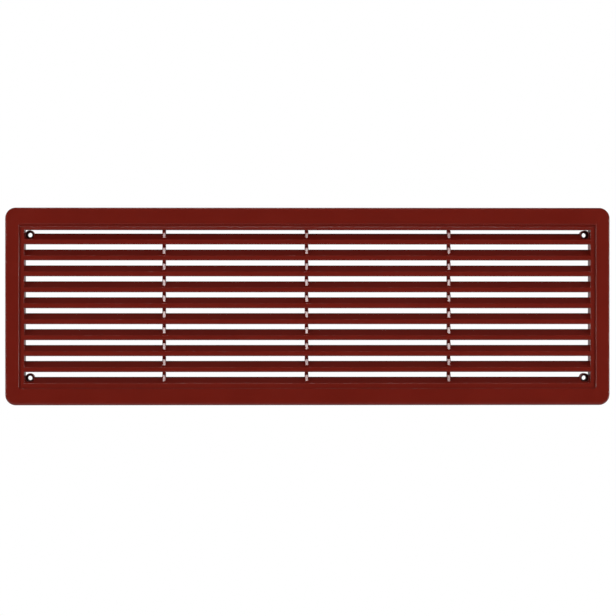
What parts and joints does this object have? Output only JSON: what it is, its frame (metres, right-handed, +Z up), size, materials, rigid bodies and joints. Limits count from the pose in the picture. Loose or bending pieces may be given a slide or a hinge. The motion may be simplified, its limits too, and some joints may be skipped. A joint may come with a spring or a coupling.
{
  "type": "door ventilation grille",
  "caption": "Rectangular louvred door vent with a rounded flange, inclined slats, upright stiffening ribs, corner screw tubes and a rear collar for the cut-out.",
  "frame": {"origin": "middle of the grille on the plane of the flange's back, which bears on the door", "axes": "+X along the width, +Y into the door, away from the room, +Z up; the visible front faces -Y"},
  "size_m": [0.4, 0.0144, 0.1306],
  "materials": {
    "frame_plastic": "satin",
    "collar_plastic": "satin",
    "slat_plastic": "satin",
    "rib_plastic": "gloss",
    "boss_plastic": "satin"
  },
  "bodies": {
    "root": {"face_frame": "frame_plastic", "rear_collar": "collar_plastic", "louvre_slat_1": "slat_plastic", "louvre_slat_2": "slat_plastic", "louvre_slat_3": "slat_plastic", "louvre_slat_4": "slat_plastic", "louvre_slat_5": "slat_plastic", "louvre_slat_6": "slat_plastic", "louvre_slat_7": "slat_plastic", "louvre_slat_8": "slat_plastic", "louvre_slat_9": "slat_plastic", "sill_slat": "slat_plastic", "rib_left": "rib_plastic", "rib_centre": "rib_plastic", "rib_right": "rib_plastic", "screw_boss_top_left": "boss_plastic", "screw_boss_top_right": "boss_plastic", "screw_boss_bottom_left": "boss_plastic", "screw_boss_bottom_right": "boss_plastic"}
  },
  "joints": []
}
